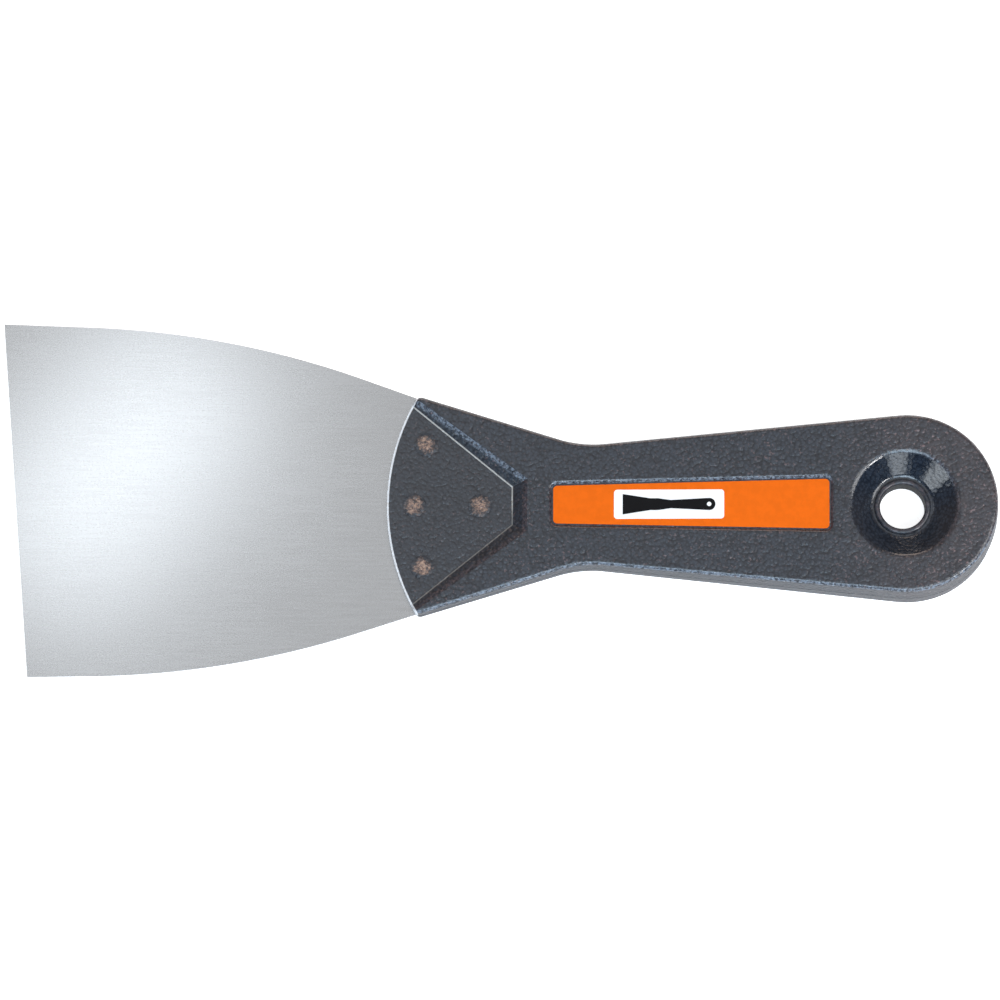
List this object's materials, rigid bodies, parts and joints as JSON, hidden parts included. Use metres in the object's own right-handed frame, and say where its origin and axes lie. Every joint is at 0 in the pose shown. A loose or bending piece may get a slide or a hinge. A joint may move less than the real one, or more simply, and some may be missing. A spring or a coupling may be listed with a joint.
{
  "type": "flexible putty knife",
  "caption": "Flexible putty knife: wide thin steel blade gripped between pressed steel handle shells with a dished hang hole, for spreading filler.",
  "frame": {"origin": "on the hang hole's axis, in the blade's mid-plane", "axes": "+X from the blade to the butt, +Y across the blade, +Z out of the front face"},
  "size_m": [0.211, 0.0763, 0.0134],
  "materials": {
    "hammered_enamel": "hammered gloss enamel on pressed steel",
    "blade_steel": "finely brushed satin spring steel",
    "rivet_copper": "copper plated steel, peened and part painted",
    "label_print": "orange printed label with a gloss film"
  },
  "bodies": {
    "handle": {"front_shell": "hammered_enamel", "rear_shell": "hammered_enamel", "blade_tang": "blade_steel", "hang_hole_eyelet": "hammered_enamel", "rivet_upper": "rivet_copper", "rivet_front": "rivet_copper", "rivet_lower": "rivet_copper", "rivet_rear": "rivet_copper", "front_label": "label_print", "rear_label": "label_print"},
    "free_blade": {"blade": "blade_steel"}
  },
  "joints": [
    {"name": "blade_flex", "type": "hinge", "parent": "handle", "child": "free_blade", "pos_m": [-0.12099, 0, 0], "axis": [0, 1, 0], "range_deg": [-20, 20], "stiffness_Nm_per_rad": 12}
  ]
}
